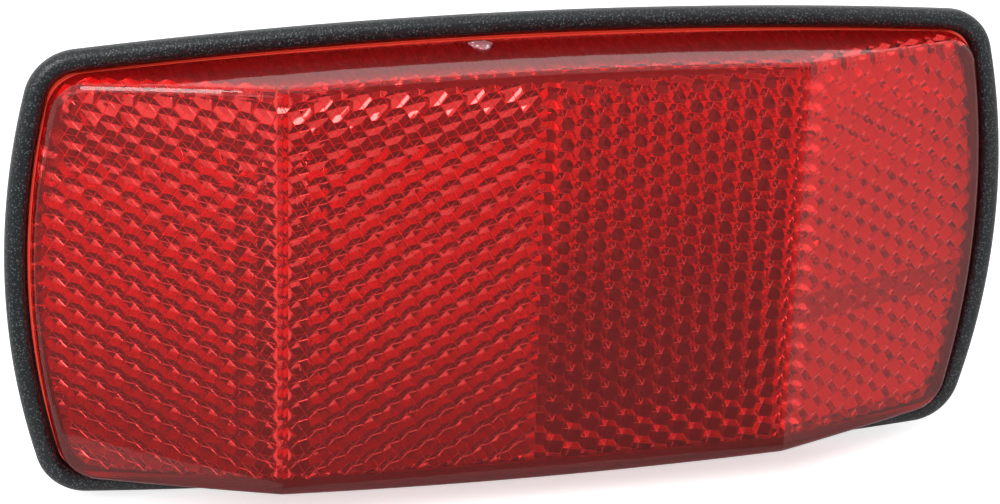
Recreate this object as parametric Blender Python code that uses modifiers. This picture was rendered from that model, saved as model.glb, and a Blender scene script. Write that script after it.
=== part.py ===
# Bicycle rear reflector: a red prismatic lens in a black housing, fixed by two captive bolts.
# The reflector faces -Y, X is its width and Z its height. The origin is the centre of the
# mounting face at the back, where it lies against the luggage carrier's plate.

import bpy
import bmesh
import math
import numpy as np
from mathutils import Matrix

MM = 0.001

# Housing outline, seen from the front: a rectangle with bowed sides and round corners
HALF_WIDTH = 53.0 * MM
HALF_HEIGHT = 25.4 * MM
SIDE_BOW = 4.4 * MM
TOP_BOW = 2.4 * MM
CORNER_RADIUS = 5.5 * MM

# Housing section
RIM_WIDTH = 2.0 * MM
RIM_FLAT = 0.2 * MM
RIM_SIDE = 0.4 * MM
RIM_STEP = 1.0 * MM
BODY_TAPER = math.radians(28.0)
LEDGE_WIDTH = 1.5 * MM
HOUSING_WALL = 1.3 * MM
FLOOR = 2.0 * MM
PAD_HEIGHT = 1.0 * MM
PAD_WIDTH = 54.0 * MM
PAD_TALL = 16.0 * MM
PAD_CORNER = 3.0 * MM
BOSS_DIAMETER = 15.0 * MM
COLLAR_WALL = 1.6 * MM
COLLAR_HEIGHT = 2.6 * MM

# Lens outline and front
FLANGE_AT_ENDS = 0.5 * MM
FLANGE_AT_TOP = 0.5 * MM
LENS_SIDE_BOW = 3.4 * MM
TOP_BOW_LESS = 0.45 * MM
LENS_CORNER = 4.0 * MM
ENDS_PROUD = 0.3 * MM
WING_DROP = 8.2 * MM
SKIRT_DRAFT = math.radians(4.8)
FRONT_ROUND = 0.7 * MM
CREASE = 26.8 * MM
FLANGE_THICKNESS = 1.2 * MM
STEP_HEIGHT = 0.4 * MM

# Prisms on the inside of the lens's front, and the fluted inner wall of its skirt
PRISM_PITCH = 2.21 * MM
FRONT_WALL = 1.6 * MM
SKIRT_AT_ENDS = 1.3 * MM
SKIRT_AT_TOP = 2.4 * MM
HOLLOW_DRAFT = math.radians(1.0)
FIELD_BOW = 0.3 * MM
FIELD_CORNER = 3.0 * MM
FLUTE_PITCH = 1.5 * MM
FLUTE_DEPTH = 0.22 * MM
COVER_THICKNESS = 0.8 * MM

# Fasteners
BOLT_TO_END = 13.0 * MM
BOLT_DIAMETER = 5.0 * MM
BOLT_LENGTH = 16.0 * MM
BOLT_CHAMFER = 0.6 * MM
HEX_ACROSS_FLATS = 8.0 * MM
CROWN_DIAMETER = 7.4 * MM
CROWN_ANGLE = math.radians(30.0)
HEAD_HEIGHT = 3.5 * MM
NUT_HEIGHT = 4.0 * MM
WASHER_DIAMETER = 10.0 * MM
WASHER_THICKNESS = 1.0 * MM
LOCK_WASHER_DIAMETER = 9.2 * MM
LOCK_WASHER_THICKNESS = 1.2 * MM
LOCK_WASHER_SLIT = 0.8 * MM
SLIT_ANGLE = math.radians(20.0)

CLEARANCE = 0.3 * MM

# Fineness of the round stretches
CORNER_STEPS = 5
SIDE_STEPS = 8
WING_STEPS = 4
CENTRE_STEPS = 8
ROUND_STEPS = 3
TURN_STEPS = 22

# Where an outline's points lie on the creases: its quarters run from a side to the top or bottom
TO_CREASE = SIDE_STEPS // 2 + CORNER_STEPS + WING_STEPS
TO_MIDDLE = TO_CREASE + CENTRE_STEPS // 2
CREASES = [TO_CREASE, 2 * TO_MIDDLE - TO_CREASE, 2 * TO_MIDDLE + TO_CREASE, 4 * TO_MIDDLE - TO_CREASE]

# Sizes across that follow from the ones above
RIM_ROUND = (RIM_WIDTH - RIM_FLAT) / 2
LENS_HALF_WIDTH = HALF_WIDTH - RIM_WIDTH - FLANGE_AT_ENDS
LENS_HALF_HEIGHT = HALF_HEIGHT - RIM_WIDTH - FLANGE_AT_TOP
LENS_TOP_BOW = TOP_BOW - TOP_BOW_LESS
FIELD_HALF_WIDTH = LENS_HALF_WIDTH - SKIRT_AT_ENDS
FIELD_HALF_HEIGHT = LENS_HALF_HEIGHT - SKIRT_AT_TOP
BOLT_X = HALF_WIDTH - BOLT_TO_END
HEX_CORNER = HEX_ACROSS_FLATS / math.sqrt(3)
WING_ANGLE = math.atan2(WING_DROP, LENS_HALF_WIDTH - CREASE)
PRISM_DEPTH = 2 * PRISM_PITCH / math.sqrt(6)

# Depths along Y, from the back: the plate, the bolt heads on it, then the cover and the lens
PLATE_BACK = -PAD_HEIGHT
PLATE_FRONT = PLATE_BACK - FLOOR
HEAD_SEAT = PLATE_FRONT - CLEARANCE
HEAD_FRONT = HEAD_SEAT - HEAD_HEIGHT
COVER_BEHIND = (FRONT_WALL + PRISM_DEPTH + CLEARANCE) / math.cos(WING_ANGLE)
WING_AT_HEAD = (BOLT_X + HEX_CORNER - CREASE) * math.tan(WING_ANGLE)
LENS_FRONT = HEAD_FRONT - CLEARANCE - COVER_THICKNESS - COVER_BEHIND - WING_AT_HEAD
RIM_FRONT = LENS_FRONT + WING_DROP + ENDS_PROUD
RIM_BACK = RIM_FRONT + 2 * RIM_ROUND + RIM_SIDE
FLANGE_FRONT = RIM_FRONT + RIM_STEP
FLANGE_BACK = FLANGE_FRONT + FLANGE_THICKNESS
LEDGE = FLANGE_BACK + CLEARANCE

TO_BACK = (-math.pi / 2, 0.0, 0.0)
MERGE = 1e-6


def clear_scene():
    for old in list(bpy.data.objects):
        bpy.data.objects.remove(old, do_unlink=True)


def new_collection(name):
    collection = bpy.data.collections.new(name)
    bpy.context.scene.collection.children.link(collection)
    return collection


def new_material(name, colour, roughness, metallic=0.0):
    material = bpy.data.materials.new(name)
    material.use_nodes = True
    shader = material.node_tree.nodes["Principled BSDF"]
    shader.inputs["Base Color"].default_value = (*colour, 1.0)
    shader.inputs["Roughness"].default_value = roughness
    shader.inputs["Metallic"].default_value = metallic
    material.diffuse_color = (*colour, 1.0)
    return material


def place(name, mesh, collection, material=None, location=(0, 0, 0), rotation=(0, 0, 0)):
    piece = bpy.data.objects.new(name, mesh)
    piece.location = location
    piece.rotation_euler = rotation
    collection.objects.link(piece)
    if material:
        mesh.materials.append(material)
    if collection is cutters:
        piece.hide_render = True
        piece.display_type = "WIRE"
    return piece


def mesh_from(name, form):
    """Turns a finished bmesh into mesh data, with its faces pointing out."""
    bmesh.ops.recalc_face_normals(form, faces=form.faces)
    mesh = bpy.data.meshes.new(name)
    form.to_mesh(mesh)
    form.free()
    return mesh


def boolean(piece, other, operation):
    modifier = piece.modifiers.new(other.name, "BOOLEAN")
    modifier.operation = operation
    modifier.solver = "EXACT"
    modifier.object = other


def weld(piece):
    """Closes the hair cracks that a cut can leave where two of its edges nearly meet."""
    modifier = piece.modifiers.new("weld", "WELD")
    modifier.merge_threshold = MERGE


def arc(centre, radius, start, end, steps):
    """Points on an arc from one angle to another, without its last point, and the way in."""
    angle = np.linspace(start, end, steps, endpoint=False)
    outward = np.stack([np.cos(angle), np.sin(angle)], 1)
    return np.asarray(centre) + radius * outward, -outward


def bow_radius(half_chord, bow):
    return (half_chord**2 + bow**2) / (2 * bow)


def bowed_outline(half_width, half_height, side_bow, top_bow, corner):
    """A rectangle whose four sides are shallow arcs and whose corners are round.

    Returns its points, anticlockwise from the right, and for each the unit vector inwards,
    so that points + inset * inwards is the outline set in by that much. Every outline has
    the same number of points, and the top and bottom have two of them at the creases.
    """
    top_r = bow_radius(half_width, top_bow)
    side_r = bow_radius(half_height, side_bow)
    top_c = half_height - top_r
    side_c = half_width - side_r
    # the corner's centre lies corner nearer to each side's centre than the side does
    a, b = side_r - corner, top_r - corner
    span = math.hypot(side_c, top_c)
    along = (a * a - b * b + span * span) / (2 * span)
    across = math.sqrt(a * a - along * along)
    toward = np.array([-side_c, top_c]) / span
    cx, cz = np.array([side_c, 0.0]) + along * toward + across * np.array([-toward[1], toward[0]])
    cx, cz = abs(cx), abs(cz)
    side_end = math.atan2(cz, cx - side_c)
    top_end = math.atan2(cz - top_c, cx)
    crease = math.acos(CREASE / top_r)

    quarter = [
        arc((side_c, 0), side_r, 0.0, side_end, SIDE_STEPS // 2),
        arc((cx, cz), corner, side_end, top_end, CORNER_STEPS),
        arc((0, top_c), top_r, top_end, crease, WING_STEPS),
        arc((0, top_c), top_r, crease, math.pi / 2, CENTRE_STEPS // 2),
    ]
    points = np.concatenate([part[0] for part in quarter])
    inwards = np.concatenate([part[1] for part in quarter])
    top_point = np.array([[0.0, half_height]])
    top_inward = np.array([[0.0, -1.0]])

    flip_x, flip_z = np.array([-1, 1]), np.array([1, -1])

    def whole(quarter_row, top_row):
        upper = np.concatenate([quarter_row, top_row, quarter_row[:0:-1] * flip_x])
        left = quarter_row[:1] * flip_x
        lower = np.concatenate([quarter_row[1:] * -1, top_row * flip_z, quarter_row[:0:-1] * flip_z])
        return np.concatenate([upper, left, lower])

    return whole(points, top_point), whole(inwards, top_inward)


def front_of(x):
    """The depth of the lens's front at x: flat in the centre, with wings that slope back."""
    return LENS_FRONT + np.maximum(np.abs(x) - CREASE, 0.0) * math.tan(WING_ANGLE)


def ring(outline, inset, depth):
    """An outline set in by some distance, as 3D points at a depth, which may vary."""
    points, inwards = outline
    flat = points + np.reshape(inset, (-1, 1)) * inwards
    return np.stack([flat[:, 0], np.broadcast_to(depth, len(flat)), flat[:, 1]], 1)


def loft(rings):
    """Joins rings of as many points each into a skin, and leaves its two ends open."""
    form = bmesh.new()
    rows = [[form.verts.new(point) for point in row] for row in rings]
    count = len(rows[0])
    for near, far in zip(rows, rows[1:]):
        for k in range(count):
            n = (k + 1) % count
            form.faces.new((near[k], near[n], far[n], far[k]))
    return form, rows


def round_over(radius):
    """The steps of a quarter round: how far inward and how far forward each of them lies."""
    angle = np.linspace(0.0, math.pi / 2, ROUND_STEPS + 1)
    return [(radius * (1 - math.cos(a)), radius * math.sin(a)) for a in angle]


def cylinder(name, diameter, start, end, x, collection):
    form = bmesh.new()
    bmesh.ops.create_cone(form, cap_ends=True, segments=TURN_STEPS, radius1=diameter / 2,
                          radius2=diameter / 2, depth=end - start)
    return place(name, mesh_from(name, form), collection,
                 location=(x, (start + end) / 2, 0), rotation=TO_BACK)


def hexagon(name, across_flats, start, end, x, collection, material=None):
    """A hexagonal prism along Y, with two of its flats level."""
    form = bmesh.new()
    radius = across_flats / math.sqrt(3)
    bmesh.ops.create_cone(form, cap_ends=True, segments=6, radius1=radius, radius2=radius,
                          depth=end - start, matrix=Matrix.Rotation(math.pi / 6, 4, "Z"))
    return place(name, mesh_from(name, form), collection, material,
                 location=(x, (start + end) / 2, 0), rotation=TO_BACK)


def turned(name, profile, x, collection, material=None):
    """A profile of (radius, depth) points turned about an axis along Y."""
    form = bmesh.new()
    verts = [form.verts.new((radius, 0.0, depth)) for radius, depth in profile]
    for near, far in zip(verts, verts[1:]):
        form.edges.new((near, far))
    if profile[0][0] > 0:
        form.edges.new((verts[-1], verts[0]))
    mesh = bpy.data.meshes.new(name)
    form.to_mesh(mesh)
    form.free()
    piece = place(name, mesh, collection, material, location=(x, 0, 0), rotation=TO_BACK)
    screw = piece.modifiers.new("turn", "SCREW")
    screw.steps = TURN_STEPS
    screw.render_steps = TURN_STEPS
    screw.use_merge_vertices = True
    screw.merge_threshold = MERGE
    return piece


def chamfered_hexagon(name, start, end, x, collection, material):
    """A hexagon for a spanner, with its corners turned off at 30 degrees on both faces."""
    piece = hexagon(name, HEX_ACROSS_FLATS, start, end, x, collection, material)
    crown = CROWN_DIAMETER / 2
    wide = HEX_CORNER + CLEARANCE
    deep = (wide - crown) * math.tan(CROWN_ANGLE)
    profile = [(0, end), (crown, end), (wide, end - deep), (wide, start + deep), (crown, start),
               (0, start)]
    boolean(piece, turned(name + "_turning", profile, x, cutters), "INTERSECT")
    return piece


def rounded_pad(name, width, tall, corner, start, end, collection):
    """A flat pad with round corners, as a filled 2D curve with a thickness."""
    outline = bpy.data.curves.new(name, "CURVE")
    outline.dimensions = "2D"
    outline.fill_mode = "BOTH"
    outline.extrude = (end - start) / 2
    spline = outline.splines.new("POLY")
    cx, cz = width / 2 - corner, tall / 2 - corner
    quarter = math.pi / 2
    places = [(cx, cz), (-cx, cz), (-cx, -cz), (cx, -cz)]
    arcs = [arc(c, corner, k * quarter, (k + 1) * quarter, CORNER_STEPS)[0]
            for k, c in enumerate(places)]
    points = np.concatenate(arcs)
    spline.points.add(len(points) - 1)
    for point, (x, z) in zip(spline.points, points):
        point.co = (x, z, 0.0, 1.0)
    spline.use_cyclic_u = True
    sketch = bpy.data.objects.new(name + "_sketch", outline)
    cutters.objects.link(sketch)
    mesh = bpy.data.meshes.new_from_object(sketch.evaluated_get(bpy.context.evaluated_depsgraph_get()))
    bpy.data.objects.remove(sketch, do_unlink=True)
    form = bmesh.new()
    form.from_mesh(mesh)
    bmesh.ops.remove_doubles(form, verts=form.verts, dist=MERGE)
    return place(name, mesh_from(name, form), collection,
                 location=(0, (start + end) / 2, 0), rotation=TO_BACK)


def make_housing(material):
    """A shallow tray with a rounded rim, bolt bosses and a pad on its back."""
    outline = bowed_outline(HALF_WIDTH, HALF_HEIGHT, SIDE_BOW, TOP_BOW, CORNER_RADIUS)

    def taper(depth):
        return RIM_ROUND + (depth - RIM_BACK) * math.tan(BODY_TAPER)

    section = [(taper(PLATE_BACK), PLATE_BACK)]
    # outer side of the rim, then its front from the outside in
    quarter = round_over(RIM_ROUND)
    section += [(RIM_ROUND - forward, RIM_BACK - inward) for inward, forward in quarter]
    section += [(inward, RIM_FRONT + RIM_ROUND - forward) for inward, forward in quarter]
    section += [(RIM_WIDTH - inward, RIM_FRONT + RIM_ROUND - forward)
                for inward, forward in reversed(quarter)]
    section += [(RIM_WIDTH, LEDGE), (RIM_WIDTH + LEDGE_WIDTH, LEDGE),
                (taper(PLATE_FRONT) + HOUSING_WALL, PLATE_FRONT)]
    form, rows = loft([ring(outline, inset, depth) for inset, depth in section])
    form.faces.new(rows[0])
    form.faces.new(rows[-1])
    housing = place("housing", mesh_from("housing", form), parts, material)

    inside = (PLATE_BACK + PLATE_FRONT) / 2
    pad = rounded_pad("pad", PAD_WIDTH, PAD_TALL, PAD_CORNER, inside, 0.0, cutters)
    boolean(housing, pad, "UNION")
    pocket_flats = HEX_ACROSS_FLATS + 2 * CLEARANCE
    collar = 2 * (pocket_flats / math.sqrt(3) + COLLAR_WALL)
    for side, x in SIDES:
        boss = cylinder("boss_" + side, BOSS_DIAMETER, inside, 0.0, x, cutters)
        cup = cylinder("collar_" + side, collar, PLATE_FRONT - COLLAR_HEIGHT, inside, x, cutters)
        pocket = hexagon("pocket_" + side, pocket_flats, HEAD_FRONT - COLLAR_HEIGHT, PLATE_FRONT,
                         x, cutters)
        hole = cylinder("hole_" + side, BOLT_DIAMETER + 2 * CLEARANCE, HEAD_FRONT, CLEARANCE, x,
                        cutters)
        boolean(housing, boss, "UNION")
        boolean(housing, cup, "UNION")
        boolean(housing, pocket, "DIFFERENCE")
        boolean(housing, hole, "DIFFERENCE")
    return housing


def prism_sheet(start, end, tall, turned_over):
    """A sheet of cube corners over a strip from x = start to end, peaks towards +Z.

    The corners of the cubes lie on a triangular grid, at three levels in turn. Three
    rhombic faces, square to each other, meet at each peak.
    """
    side = PRISM_PITCH / math.sqrt(3)
    level = PRISM_DEPTH / 2
    form = bmesh.new()
    nodes = {}

    def node(i, j):
        if (i, j) not in nodes:
            turn = (j - i if turned_over else i - j) % 3
            place_at = (side * (i + j / 2), side * j * math.sqrt(3) / 2, level * (2 - turn))
            nodes[i, j] = form.verts.new(place_at)
        return nodes[i, j]

    neighbours = [(1, 0), (0, 1), (-1, 1), (-1, 0), (0, -1), (1, -1)]
    first = 0 if turned_over else 1
    rows = math.ceil((tall / 2 + PRISM_PITCH) / PRISM_PITCH * 2)
    for j in range(-rows, rows + 1):
        left = math.floor((start - PRISM_PITCH) / side - j / 2)
        right = math.ceil((end + PRISM_PITCH) / side - j / 2)
        for i in range(left, right + 1):
            if (i - j) % 3:
                continue
            for k in range(3):
                corners = [neighbours[(2 * k + first + step) % 6] for step in (-1, 0, 1)]
                form.faces.new([node(i, j)] + [node(i + di, j + dj) for di, dj in corners])
    return form


def prism_block(name, start, end, turned_over, tilt, hinge):
    """The hollow behind one zone of prisms, as a block whose front is the cube corners.

    It is made flat, with the lens's front at depth 0, then turned back by the wing's angle
    about the crease at its hinge. Its back lies well outside the lens at any tilt.
    """
    tall = 2 * (FIELD_HALF_HEIGHT + PRISM_PITCH)
    block_depth = 2 * (FLANGE_BACK - LENS_FRONT)
    form = prism_sheet(start, end, tall, turned_over)
    bmesh.ops.translate(form, verts=form.verts, vec=(0, 0, FRONT_WALL))
    sides = [((start, 0, 0), (-1, 0, 0)), ((end, 0, 0), (1, 0, 0)),
             ((0, tall / 2, 0), (0, 1, 0)), ((0, -tall / 2, 0), (0, -1, 0))]
    for point, outward in sides:
        everything = form.verts[:] + form.edges[:] + form.faces[:]
        bmesh.ops.bisect_plane(form, geom=everything, dist=1e-7, plane_co=point,
                               plane_no=outward, clear_outer=True)
    border = [edge for edge in form.edges if edge.is_boundary]
    walls = bmesh.ops.extrude_edge_only(form, edges=border)["geom"]
    back = [item for item in walls if isinstance(item, bmesh.types.BMVert)]
    for vert in back:
        vert.co.z = block_depth
    edges = [item for item in walls if isinstance(item, bmesh.types.BMEdge) and item.is_boundary]
    bmesh.ops.contextual_create(form, geom=edges)
    bmesh.ops.rotate(form, verts=form.verts, cent=(0, 0, 0), matrix=Matrix.Rotation(tilt, 3, "Y"))
    return place(name, mesh_from(name, form), cutters, location=(hinge, LENS_FRONT, 0),
                 rotation=TO_BACK)


def fluted_wall():
    """The inside of the skirt, from the prisms to the open back, with fine flutes along it."""
    points, inwards = bowed_outline(FIELD_HALF_WIDTH, FIELD_HALF_HEIGHT, LENS_SIDE_BOW, FIELD_BOW,
                                    FIELD_CORNER)
    closed = np.concatenate([points, points[:1]])
    steps = np.hypot(*np.diff(closed, axis=0).T)
    travelled = np.concatenate([[0.0], np.cumsum(steps)])
    flutes = round(travelled[-1] / FLUTE_PITCH)
    at = np.arange(2 * flutes) * travelled[-1] / (2 * flutes)
    ways = np.concatenate([inwards, inwards[:1]])
    wall = np.stack([np.interp(at, travelled, closed[:, k]) for k in (0, 1)], 1)
    ways = np.stack([np.interp(at, travelled, ways[:, k]) for k in (0, 1)], 1)
    depth = np.where(np.arange(2 * flutes) % 2, FLUTE_DEPTH, 0.0)
    outer = (wall, ways)
    span = 2 * CLEARANCE + FLANGE_BACK - LENS_FRONT
    spread = span * math.tan(HOLLOW_DRAFT)
    form, rows = loft([ring(outer, depth, LENS_FRONT + CLEARANCE),
                       ring(outer, depth - spread, FLANGE_BACK + CLEARANCE)])
    form.faces.new(rows[0])
    form.faces.new(rows[-1])
    return place("lens_hollow", mesh_from("lens_hollow", form), cutters)


def make_lens(material):
    """The moulded lens: flange, two small steps, drafted skirt and a front with two wings."""
    housing_outline = bowed_outline(HALF_WIDTH, HALF_HEIGHT, SIDE_BOW, TOP_BOW, CORNER_RADIUS)
    skirt_outline = bowed_outline(LENS_HALF_WIDTH, LENS_HALF_HEIGHT, LENS_SIDE_BOW, LENS_TOP_BOW,
                                  LENS_CORNER)
    edge = RIM_WIDTH + CLEARANCE
    skirt_base = FLANGE_FRONT - STEP_HEIGHT
    flange = ring(housing_outline, edge, FLANGE_FRONT)
    skirt = ring(skirt_outline, 0.0, FLANGE_FRONT)
    halfway = (flange + skirt) / 2
    up = np.array([0.0, -STEP_HEIGHT, 0.0])
    rings = [ring(housing_outline, edge, FLANGE_BACK), flange, halfway, halfway + up, skirt + up]
    drafted = (skirt_base - front_of(skirt_outline[0][:, 0])) * math.tan(SKIRT_DRAFT)
    for inward, forward in round_over(FRONT_ROUND):
        edge_ring = ring(skirt_outline, drafted + inward, 0.0)
        edge_ring[CREASES, 0] = np.copysign(CREASE, edge_ring[CREASES, 0])
        edge_ring[:, 1] = front_of(edge_ring[:, 0]) + FRONT_ROUND - forward
        rings.append(edge_ring)
    form, rows = loft(rings)
    form.faces.new(rows[0])
    fill_front(form, rows[-1])
    lens = place("lens", mesh_from("lens", form), parts, material)

    wing = (FIELD_HALF_WIDTH - CREASE) / math.cos(WING_ANGLE) + PRISM_PITCH
    lap = CLEARANCE / 10
    centre = CREASE + lap
    blocks = [
        prism_block("prisms_inner_left", -centre, lap, True, 0.0, 0.0),
        prism_block("prisms_inner_right", -lap, centre, False, 0.0, 0.0),
        prism_block("prisms_outer_left", -wing, lap, False, WING_ANGLE, -CREASE),
        prism_block("prisms_outer_right", -lap, wing, True, -WING_ANGLE, CREASE),
    ]
    hollow = fluted_wall()
    behind = blocks[0]
    for other in blocks[1:]:
        boolean(behind, other, "UNION")
    boolean(behind, hollow, "INTERSECT")
    weld(behind)
    boolean(lens, behind, "DIFFERENCE")
    weld(lens)
    return lens


def make_prism_cover(material):
    """A thin cover behind the prisms. It follows the lens's front and keeps them dry."""
    outline = bowed_outline(FIELD_HALF_WIDTH, FIELD_HALF_HEIGHT, LENS_SIDE_BOW, FIELD_BOW,
                            FIELD_CORNER)
    rings = []
    for behind in (COVER_BEHIND, COVER_BEHIND + COVER_THICKNESS):
        edge = ring(outline, FLUTE_DEPTH + CLEARANCE, 0.0)
        edge[CREASES, 0] = np.copysign(CREASE, edge[CREASES, 0])
        edge[:, 1] = front_of(edge[:, 0]) + behind
        rings.append(edge)
    form, rows = loft(rings)
    for row in rows:
        fill_front(form, row)
    return place("prism_cover", mesh_from("prism_cover", form), parts, material)


def fill_front(form, face):
    """Closes the front with three flat faces that meet along the two creases."""
    right_top, left_top, left_bottom, right_bottom = CREASES
    form.faces.new(face[right_bottom:] + face[:right_top + 1])
    form.faces.new(face[left_top:left_bottom + 1])
    form.faces.new(face[right_top:left_top + 1] + face[left_bottom:right_bottom + 1])


def make_bolt(side, x, material):
    """A hexagon bolt whose head sits in the housing's pocket and whose shank comes out of the back."""
    head = chamfered_hexagon("bolt_" + side, HEAD_FRONT, HEAD_SEAT, x, parts, material)
    radius = BOLT_DIAMETER / 2
    tip = HEAD_SEAT + BOLT_LENGTH
    root = (HEAD_FRONT + HEAD_SEAT) / 2
    profile = [(0, tip), (radius - BOLT_CHAMFER, tip), (radius, tip - BOLT_CHAMFER), (radius, root),
               (0, root)]
    boolean(head, turned("shank_" + side, profile, x, cutters), "UNION")
    return head


def make_ring(name, diameter, start, thickness, x, material):
    """A flat washer: a rectangle turned about the bolt's axis."""
    bore = BOLT_DIAMETER / 2 + CLEARANCE
    profile = [(diameter / 2, start + thickness), (diameter / 2, start), (bore, start),
               (bore, start + thickness)]
    return turned(name, profile, x, parts, material)


def make_fixings(side, x, steel):
    """The bolt with its washer, its split lock washer and its nut, in the order they go on."""
    make_bolt(side, x, steel)
    washer = CLEARANCE
    make_ring("washer_" + side, WASHER_DIAMETER, washer, WASHER_THICKNESS, x, steel)

    split = washer + WASHER_THICKNESS + CLEARANCE
    lock = make_ring("lock_washer_" + side, LOCK_WASHER_DIAMETER, split, LOCK_WASHER_THICKNESS, x, steel)
    form = bmesh.new()
    bmesh.ops.create_cube(form, size=1.0)
    size = (LOCK_WASHER_DIAMETER, 3 * LOCK_WASHER_THICKNESS, LOCK_WASHER_SLIT)
    bmesh.ops.scale(form, verts=form.verts, vec=size)
    slit = place("slit_" + side, mesh_from("slit_" + side, form), cutters,
                 location=(x + LOCK_WASHER_DIAMETER / 2, split + LOCK_WASHER_THICKNESS / 2, 0),
                 rotation=(SLIT_ANGLE, 0, 0))
    boolean(lock, slit, "DIFFERENCE")

    seat = split + LOCK_WASHER_THICKNESS + CLEARANCE
    nut = chamfered_hexagon("nut_" + side, seat, seat + NUT_HEIGHT, x, parts, steel)
    bore = cylinder("nut_bore_" + side, BOLT_DIAMETER + 2 * CLEARANCE, seat - NUT_HEIGHT,
                    seat + 2 * NUT_HEIGHT, x, cutters)
    boolean(nut, bore, "DIFFERENCE")


def smooth_round_pieces():
    for piece in parts.objects:
        piece.data.shade_smooth()
        piece.data.set_sharp_from_angle(angle=math.radians(30))


clear_scene()
parts = new_collection("bicycle_rear_reflector")
cutters = new_collection("cutters")
SIDES = [("left", -BOLT_X), ("right", BOLT_X)]

black_plastic = new_material("black_plastic", (0.02, 0.02, 0.022), 0.45)
red_plastic = new_material("red_plastic", (0.62, 0.01, 0.02), 0.08)
white_plastic = new_material("white_plastic", (0.8, 0.8, 0.78), 0.5)
zinc_steel = new_material("zinc_steel", (0.66, 0.67, 0.68), 0.32, 1.0)

make_housing(black_plastic)
make_lens(red_plastic)
make_prism_cover(white_plastic)
for side_name, bolt_x in SIDES:
    make_fixings(side_name, bolt_x, zinc_steel)
smooth_round_pieces()
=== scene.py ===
# Bicycle rear reflector for a luggage carrier: a red prismatic lens in a black housing with two
# captive bolts. It faces -Y, X is its width and Z its height, and all lengths here are in mm.
import math
import bmesh
import bpy
import numpy as np
from mathutils import Matrix, Vector


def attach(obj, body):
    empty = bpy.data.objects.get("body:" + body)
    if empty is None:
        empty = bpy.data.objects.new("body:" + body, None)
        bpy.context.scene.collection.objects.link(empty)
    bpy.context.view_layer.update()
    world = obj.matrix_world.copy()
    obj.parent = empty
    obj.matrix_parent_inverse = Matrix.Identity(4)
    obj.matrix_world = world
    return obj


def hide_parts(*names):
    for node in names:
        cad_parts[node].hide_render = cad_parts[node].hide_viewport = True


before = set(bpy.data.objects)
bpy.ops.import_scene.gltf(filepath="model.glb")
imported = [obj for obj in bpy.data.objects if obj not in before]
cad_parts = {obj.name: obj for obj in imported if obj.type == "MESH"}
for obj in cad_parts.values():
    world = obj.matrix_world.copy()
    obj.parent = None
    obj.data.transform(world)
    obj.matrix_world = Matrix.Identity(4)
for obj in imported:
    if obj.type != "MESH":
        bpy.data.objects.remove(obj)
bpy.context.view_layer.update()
MM = 0.001

# Housing
# A tray moulded in black plastic. Its rounded rim holds the lens's flange, and its back has a flat
# pad for the carrier's plate and a boss round each bolt.
HALF_WIDTH, HALF_HEIGHT = 53.0, 25.4
SIDE_BOW, TOP_BOW, CORNER_RADIUS = 4.4, 2.4, 5.5
RIM_WIDTH, RIM_FLAT, RIM_SIDE = 2.0, 0.2, 0.4
BODY_TAPER = math.radians(28.0)
LEDGE_WIDTH, HOUSING_WALL = 1.5, 1.3
PLATE_BACK, PLATE_FRONT = -1.0, -3.0
RIM_FRONT = -9.4851
RIM_ROUND = (RIM_WIDTH - RIM_FLAT) / 2
RIM_BACK = RIM_FRONT + 2 * RIM_ROUND + RIM_SIDE
LEDGE = -6.9851
BACK_EDGE_ROUND = 0.6
PAD_WIDTH, PAD_TALL, PAD_CORNER, PAD_EDGE_ROUND = 54.0, 16.0, 3.0, 0.3
BOSS_RADIUS, COLLAR_RADIUS, COLLAR_HEIGHT = 7.5, 6.566, 2.6
POCKET_FLATS, HOLE_RADIUS, PAST_BACK = 8.6, 2.8, 1.0
BOLT_X = 40.0
CREASE = 26.8
CORNER_STEPS, SIDE_STEPS, WING_STEPS, CENTRE_STEPS = 14, 12, 10, 20
RIM_STEPS, BEND_STEPS, EDGE_STEPS, PAD_STEPS = 8, 6, 4, 8
HOUSING_SHARP = math.radians(32.0)


def arc(centre, radius, start, end, steps):
    """Centre plus radius times (cos, sin) of the angles from start to end, and the way inwards."""
    angle = np.linspace(start, end, steps, endpoint=False)
    outward = np.stack([np.cos(angle), np.sin(angle)], 1)
    return np.asarray(centre) + radius * outward, -outward


def bowed_outline(half_width, half_height, side_bow, top_bow, corner):
    """A rectangle of four shallow arcs with round corners, and the unit vectors inwards.

    A side's radius is (half chord squared + bow squared) / (2 bow). A corner's centre lies where
    the circles of both sides, made smaller by the corner's radius, meet.
    """
    top_r = (half_width**2 + top_bow**2) / (2 * top_bow)
    side_r = (half_height**2 + side_bow**2) / (2 * side_bow)
    top_c = half_height - top_r
    side_c = half_width - side_r
    a, b = side_r - corner, top_r - corner
    span = math.hypot(side_c, top_c)
    along = (a * a - b * b + span * span) / (2 * span)
    across = math.sqrt(a * a - along * along)
    toward = np.array([-side_c, top_c]) / span
    meet = np.array([side_c, 0.0]) + along * toward + across * np.array([-toward[1], toward[0]])
    cx, cz = abs(meet[0]), abs(meet[1])
    side_end = math.atan2(cz, cx - side_c)
    top_end = math.atan2(cz - top_c, cx)
    crease = math.acos(CREASE / top_r)
    quarter = [
        arc((side_c, 0), side_r, 0.0, side_end, SIDE_STEPS),
        arc((cx, cz), corner, side_end, top_end, CORNER_STEPS),
        arc((0, top_c), top_r, top_end, crease, WING_STEPS),
        arc((0, top_c), top_r, crease, math.pi / 2, CENTRE_STEPS),
    ]
    whole = []
    for row, top in zip(zip(*quarter), ([[0.0, half_height]], [[0.0, -1.0]])):
        row, top = np.concatenate(row), np.array(top)
        left = row[:0:-1] * [-1, 1]
        right = row[:0:-1] * [1, -1]
        whole.append(np.concatenate([row, top, left, row[:1] * [-1, 1], -row[1:], -top, right]))
    return whole[0], whole[1]


def ring(outline, inset, depth):
    """The outline moved inwards by the inset, as points in 3D at a depth."""
    points, inwards = outline
    flat = points + np.reshape(inset, (-1, 1)) * inwards
    return np.stack([flat[:, 0], np.broadcast_to(depth, len(flat)), flat[:, 1]], 1)


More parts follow.
